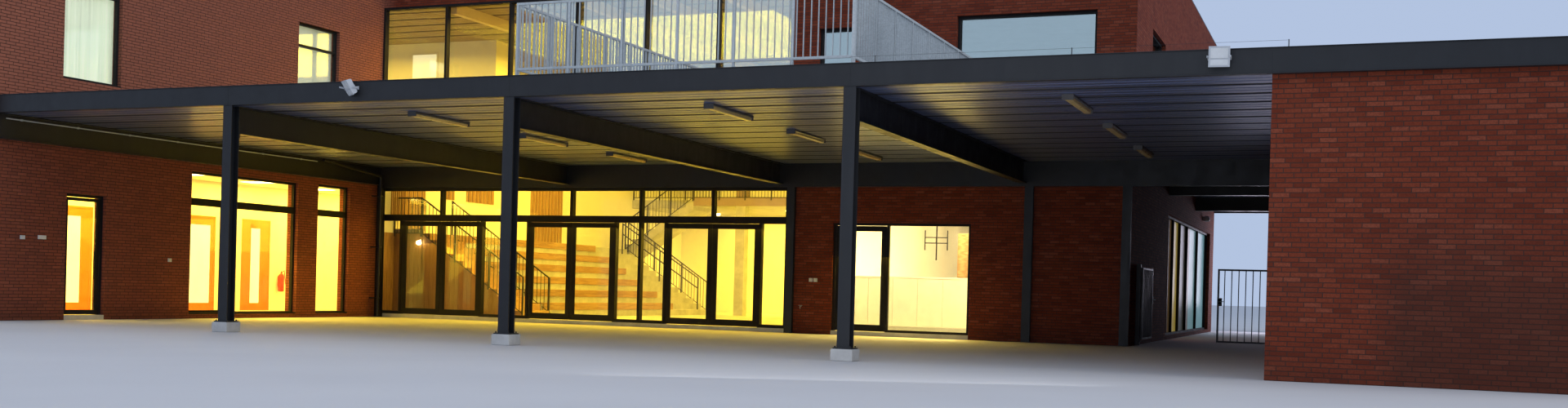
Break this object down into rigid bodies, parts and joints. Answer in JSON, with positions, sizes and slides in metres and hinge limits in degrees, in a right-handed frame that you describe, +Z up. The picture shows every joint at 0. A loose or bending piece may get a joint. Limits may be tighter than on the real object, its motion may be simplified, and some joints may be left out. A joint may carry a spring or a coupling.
{
  "type": "school building",
  "caption": "Brick school building with a glazed double-height entrance hall between two-storey wings, a steel canopy with a terrace on top, a low side block and a gated passage.",
  "frame": {"origin": "centre of the bounding box at ground level", "axes": "+X to the right along the front, +Y from the front into the building, +Z up"},
  "size_m": [37, 31.5, 9.85],
  "materials": {
    "brick": "rough brick",
    "concrete": "smooth concrete",
    "roofing": "bitumen sheet on insulation",
    "dark_steel": "satin anthracite coating",
    "galvanised": "zinc coated",
    "railing": "hot-dip zinc",
    "inner_railing": "satin dark coating",
    "frame": "satin dark coating",
    "glass": "clear",
    "tinted_panel": "tinted",
    "lamp": "satin grey",
    "orange_door": "satin orange",
    "plaster": "painted plaster",
    "wood": "oiled plywood"
  },
  "bodies": {
    "building": {"wing_court_wall": "brick", "wing_upper_court_wall": "brick", "wing_front_wall": "brick", "wing_outer_wall": "brick", "back_wall": "brick", "hall_side_wall": "brick", "block_front_wall": "brick", "upper_front_walls": "brick", "door_lintels": "brick", "block_side_wall": "brick", "annex_end_walls": "brick", "annex_side_walls": "brick", "ground_floors": "concrete", "upper_floors": "concrete", "roof_slabs": "concrete", "column_footings": "concrete", "tribune": "concrete", "hall_stair": "concrete", "upper_stair": "concrete", "terrace_floor": "concrete", "annex_roof": "roofing", "canopy_roofing": "roofing", "parapet_coping": "dark_steel", "fascia_front": "dark_steel", "fascia_side": "dark_steel", "fascia_back": "dark_steel", "canopy_columns": "dark_steel", "canopy_beams": "dark_steel", "header_beam": "dark_steel", "hall_edge_beam": "dark_steel", "gate_posts": "dark_steel", "canopy_deck": "galvanised", "passage_deck": "galvanised", "hall_roof_beams": "galvanised", "terrace_railing_front": "railing", "terrace_railing_sides": "railing", "hall_railings": "inner_railing", "entrance_sidelights": "frame", "entrance_fanlight_frame": "frame", "hall_upper_frame": "frame", "window_frames": "frame", "side_glazing_frame": "frame", "hall_glass": "glass", "window_glass": "glass", "side_glazing_glass": "tinted_panel", "strip_lights": "lamp", "floodlights": "lamp", "corridor_doors": "orange_door", "corridor_wall": "plaster", "facade_stair": "wood"},
    "entrance_door_1": {"entrance_door_1": "frame"},
    "entrance_door_2": {"entrance_door_2": "frame"},
    "entrance_door_3": {"entrance_door_3": "frame"},
    "entrance_door_4": {"entrance_door_4": "frame"},
    "entrance_door_5": {"entrance_door_5": "frame"},
    "entrance_door_6": {"entrance_door_6": "frame"},
    "room_door": {"room_door": "frame"},
    "wing_door": {"wing_door": "frame"},
    "gate_leaf_left": {"gate_leaf_left": "dark_steel"},
    "gate_leaf_right": {"gate_leaf_right": "dark_steel"}
  },
  "joints": [
    {"name": "entrance_door_1_hinge", "type": "hinge", "parent": "building", "child": "entrance_door_1", "pos_m": [-11.21, -3.48, 0], "axis": [0, 0, 1], "range_deg": [-90, 0]},
    {"name": "entrance_door_2_hinge", "type": "hinge", "parent": "building", "child": "entrance_door_2", "pos_m": [-8.67, -3.48, 0], "axis": [0, 0, 1], "range_deg": [0, 90]},
    {"name": "entrance_door_3_hinge", "type": "hinge", "parent": "building", "child": "entrance_door_3", "pos_m": [-7.15, -3.48, 0], "axis": [0, 0, 1], "range_deg": [-90, 0]},
    {"name": "entrance_door_4_hinge", "type": "hinge", "parent": "building", "child": "entrance_door_4", "pos_m": [-4.61, -3.48, 0], "axis": [0, 0, 1], "range_deg": [0, 90]},
    {"name": "entrance_door_5_hinge", "type": "hinge", "parent": "building", "child": "entrance_door_5", "pos_m": [-3.09, -3.48, 0], "axis": [0, 0, 1], "range_deg": [-90, 0]},
    {"name": "entrance_door_6_hinge", "type": "hinge", "parent": "building", "child": "entrance_door_6", "pos_m": [-0.55, -3.48, 0], "axis": [0, 0, 1], "range_deg": [0, 90]},
    {"name": "room_door_hinge", "type": "hinge", "parent": "building", "child": "room_door", "pos_m": [1.46, -3.43, 0], "axis": [0, 0, 1], "range_deg": [-90, 0]},
    {"name": "wing_door_hinge", "type": "hinge", "parent": "building", "child": "wing_door", "pos_m": [-12.105, -13.63, 0], "axis": [0, 0, 1], "range_deg": [-90, 0]},
    {"name": "gate_left_hinge", "type": "hinge", "parent": "building", "child": "gate_leaf_left", "pos_m": [8.56, -2.48, 0], "axis": [0, 0, 1], "range_deg": [-90, 0]},
    {"name": "gate_right_hinge", "type": "hinge", "parent": "building", "child": "gate_leaf_right", "pos_m": [11.89, -2.48, 0], "axis": [0, 0, 1], "range_deg": [-90, 0]}
  ]
}
